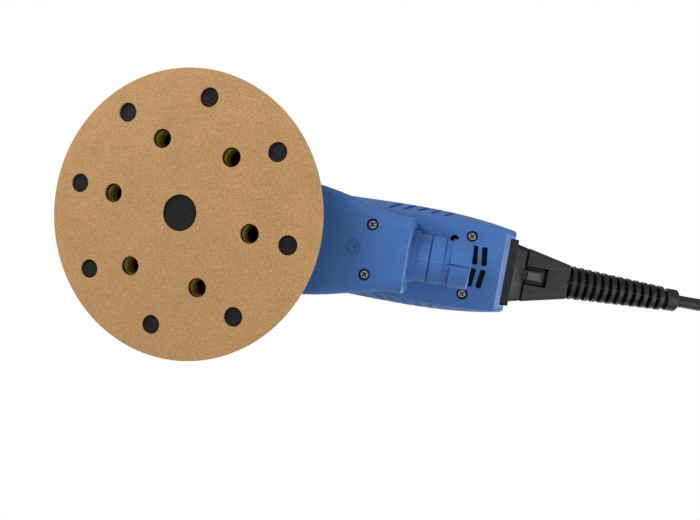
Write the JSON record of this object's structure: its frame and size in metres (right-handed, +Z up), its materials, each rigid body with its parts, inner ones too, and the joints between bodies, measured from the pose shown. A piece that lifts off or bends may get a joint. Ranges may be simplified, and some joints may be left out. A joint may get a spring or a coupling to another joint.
{
  "type": "random orbital sander",
  "caption": "Corded palm and handle orbital sander with a round perforated sanding pad, rear dust spigot, trigger lever and plug-in lead with ribbed strain relief.",
  "frame": {"origin": "on the motor axis in the plane of the sanding face", "axes": "+Z up the motor axis away from the work, +X along the handle towards the power lead, +Y across"},
  "size_m": [0.5373, 0.1919, 0.0973],
  "materials": {
    "abrasive_grit": "matte, fine gold-brown grit",
    "hook_fabric": "matte black hook mesh",
    "pad_foam": "matte olive-yellow open-cell foam",
    "pad_plate": "matte black glass-filled nylon",
    "blue_plastic": "satin moulded blue, fine grain",
    "black_soft": "matte soft-touch black",
    "black_plastic": "satin black",
    "steel": "ground steel",
    "screw_steel": "bright zinc",
    "magnet": "dark nickel",
    "aluminium": "cast, satin",
    "lamination": "stacked electrical steel",
    "copper": "enamelled copper wire",
    "seal_rubber": "matte",
    "circuit_board": "green solder mask",
    "component_black": "moulded component",
    "capacitor_film": "sleeved can",
    "ferrite": "wound ferrite ring",
    "button_grey": "satin grey",
    "button_green": "satin green",
    "lens": "clear green",
    "contact_brass": "tinned brass",
    "cord_rubber": "satin black",
    "wire_insulation": "satin"
  },
  "bodies": {
    "housing": {"lower_bearing_outer": "steel", "upper_bearing_outer": "steel", "wave_washer": "steel", "stator_core": "lamination", "stator_windings": "copper", "stator_sleeve": "aluminium", "motor_plate": "aluminium", "lower_housing": "blue_plastic", "upper_housing": "blue_plastic", "palm_grip": "black_soft", "dust_shroud": "blue_plastic", "dust_spigot": "blue_plastic", "brake_seal": "seal_rubber", "duct_screws": "screw_steel", "handle_screws": "screw_steel", "flange_screws": "screw_steel", "lever_pin": "steel", "lever_spring": "steel", "keypad_bezel": "black_plastic", "indicator_lens": "lens", "keypad_board": "circuit_board", "tact_switches": "component_black", "controller_board": "circuit_board", "lever_sensor": "component_black", "capacitors": "capacitor_film", "choke": "ferrite", "heat_sink": "aluminium", "motor_wires": "wire_insulation", "supply_wires": "wire_insulation", "power_socket": "black_plastic", "socket_contacts": "contact_brass", "plug_body": "black_soft", "strain_relief": "black_soft", "cord_lead": "cord_rubber", "cord_coil": "cord_rubber", "cord_tail": "cord_rubber", "mains_plug": "cord_rubber", "mains_pins": "contact_brass"},
    "rotor": {"motor_shaft": "steel", "counterweight": "steel", "rotor_core": "lamination", "rotor_magnets": "magnet", "cooling_fan": "component_black", "lower_bearing_inner": "steel", "upper_bearing_inner": "steel", "pad_bearing_outer_rings": "steel"},
    "pad": {"abrasive_disc": "abrasive_grit", "pad_hook_face": "hook_fabric", "pad_foam": "pad_foam", "pad_backing_plate": "pad_plate", "pad_stud": "steel", "pad_spindle": "steel", "spindle_keeper": "steel", "pad_bearing_inner_rings": "steel"},
    "trigger_lever": {"lever": "black_plastic", "lever_magnet": "magnet"},
    "power_key": {"power_button": "button_green"},
    "speed_up_key": {"speed_up_button": "button_grey"},
    "speed_down_key": {"speed_down_button": "button_grey"},
    "latch": {"latch_tongue": "black_plastic"}
  },
  "joints": [
    {"name": "motor_spin", "type": "hinge", "parent": "housing", "child": "rotor", "pos_m": [0, 0, 0.043], "axis": [0, 0, 1], "continuous": true},
    {"name": "pad_spin", "type": "hinge", "parent": "rotor", "child": "pad", "pos_m": [0, -0.0025, 0.026], "axis": [0, 0, 1], "continuous": true},
    {"name": "lever_press", "type": "hinge", "parent": "housing", "child": "trigger_lever", "pos_m": [0.048, 0, 0.0876], "axis": [0, 1, 0], "range_deg": [0, 4.5], "stiffness_Nm_per_rad": 4, "springref_deg": -3.44, "deforming": ["lever_spring"]},
    {"name": "power_button_press", "type": "slide", "parent": "housing", "child": "power_key", "axis": [0, 0, -1], "range_m": [0, 0.0008], "stiffness_N_per_m": 600, "springref_m": -0.001},
    {"name": "speed_up_press", "type": "slide", "parent": "housing", "child": "speed_up_key", "axis": [0, 0, -1], "range_m": [0, 0.0008], "stiffness_N_per_m": 600, "springref_m": -0.001},
    {"name": "speed_down_press", "type": "slide", "parent": "housing", "child": "speed_down_key", "axis": [0, 0, -1], "range_m": [0, 0.0008], "stiffness_N_per_m": 600, "springref_m": -0.001},
    {"name": "latch_flex", "type": "hinge", "parent": "housing", "child": "latch", "pos_m": [0.1785, 0, 0.0593], "axis": [0, -1, 0], "range_deg": [0, 3.5], "stiffness_Nm_per_rad": 0.5, "springref_deg": -1.15}
  ]
}
